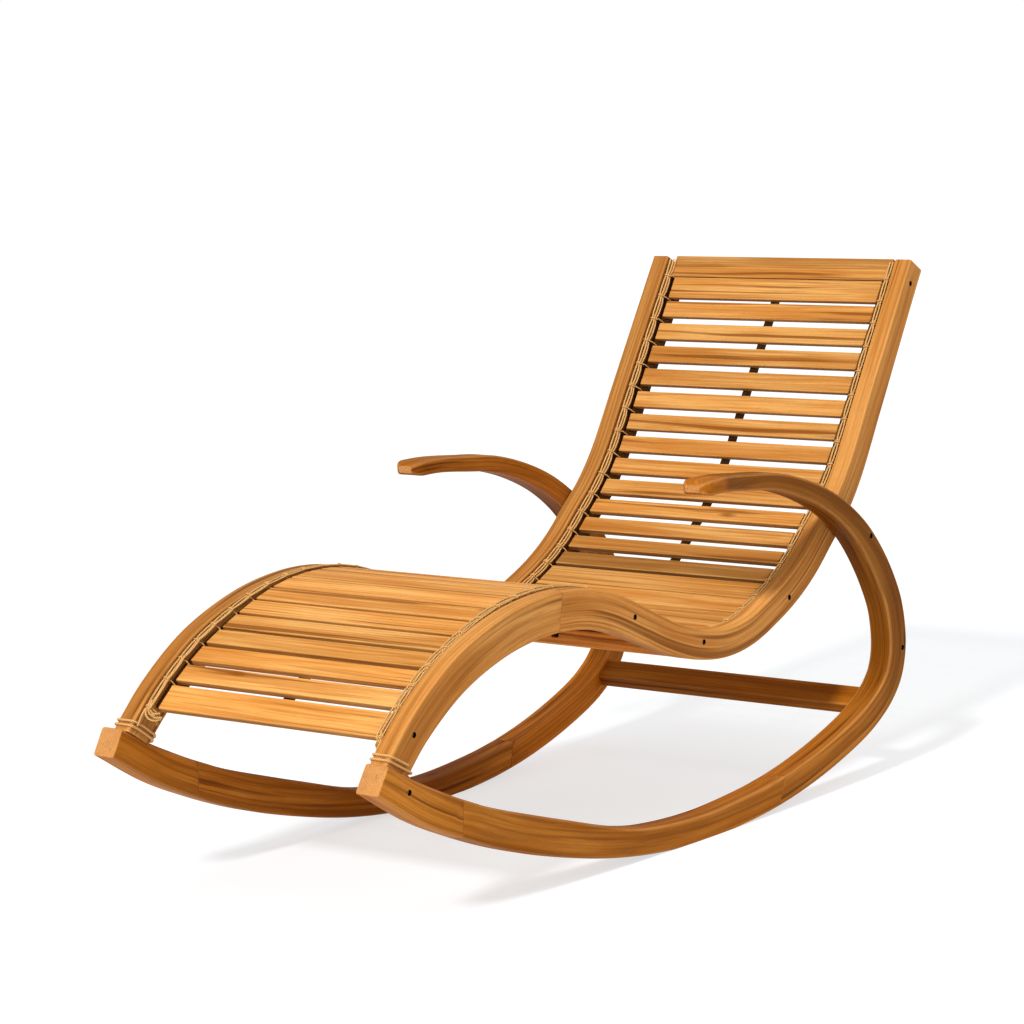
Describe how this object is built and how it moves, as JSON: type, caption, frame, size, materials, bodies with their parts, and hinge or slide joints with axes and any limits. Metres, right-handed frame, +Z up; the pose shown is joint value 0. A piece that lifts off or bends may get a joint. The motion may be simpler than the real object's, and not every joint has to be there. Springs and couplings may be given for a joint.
{
  "type": "rocking chaise lounge",
  "caption": "Wooden rocking chaise lounge: slatted S-shaped bed laced between two side rails, carried by bent loops that are rocker and arm rest in one.",
  "frame": {"origin": "on the floor, at the middle of the bounding box's base", "axes": "+Z up, +Y towards the back rest, +X towards the sitter's left"},
  "size_m": [0.7208, 1.6552, 0.9582],
  "materials": {
    "rail_wood": "oiled hardwood, satin",
    "loop_wood": "oiled hardwood, satin",
    "slat_wood": "oiled hardwood, satin",
    "under_wood": "oiled hardwood, satin, shaded",
    "cord": "waxed twine",
    "bolt_steel": "dulled"
  },
  "bodies": {
    "root": {"left_leg_rail": "rail_wood", "left_back_rail": "rail_wood", "left_toe_block": "loop_wood", "left_runner": "loop_wood", "left_rear_bow": "loop_wood", "left_crossing_bolt": "bolt_steel", "left_ledger": "under_wood", "left_lacing": "cord", "left_foot_wrap": "cord", "right_leg_rail": "rail_wood", "right_back_rail": "rail_wood", "right_toe_block": "loop_wood", "right_runner": "loop_wood", "right_rear_bow": "loop_wood", "right_crossing_bolt": "bolt_steel", "right_ledger": "under_wood", "right_lacing": "cord", "right_foot_wrap": "cord", "slat_01": "slat_wood", "slat_02": "slat_wood", "slat_03": "slat_wood", "slat_04": "slat_wood", "slat_05": "slat_wood", "slat_06": "slat_wood", "slat_07": "slat_wood", "slat_08": "slat_wood", "slat_09": "slat_wood", "slat_10": "slat_wood", "slat_11": "slat_wood", "slat_12": "slat_wood", "slat_13": "slat_wood", "slat_14": "slat_wood", "slat_15": "slat_wood", "slat_16": "slat_wood", "slat_17": "slat_wood", "slat_18": "slat_wood", "slat_19": "slat_wood", "slat_20": "slat_wood", "slat_21": "slat_wood", "slat_22": "slat_wood", "slat_23": "slat_wood", "slat_24": "slat_wood", "slat_25": "slat_wood", "slat_26": "slat_wood", "slat_27": "slat_wood", "slat_28": "slat_wood", "slat_29": "slat_wood", "slat_30": "slat_wood", "slat_31": "slat_wood", "slat_32": "slat_wood", "slat_33": "slat_wood", "slat_34": "slat_wood", "slat_35": "slat_wood", "slat_36": "slat_wood", "slat_37": "slat_wood", "slat_38": "slat_wood", "head_rail": "slat_wood", "spine": "under_wood", "rear_stretcher": "loop_wood", "seat_brace": "rail_wood"}
  },
  "joints": []
}
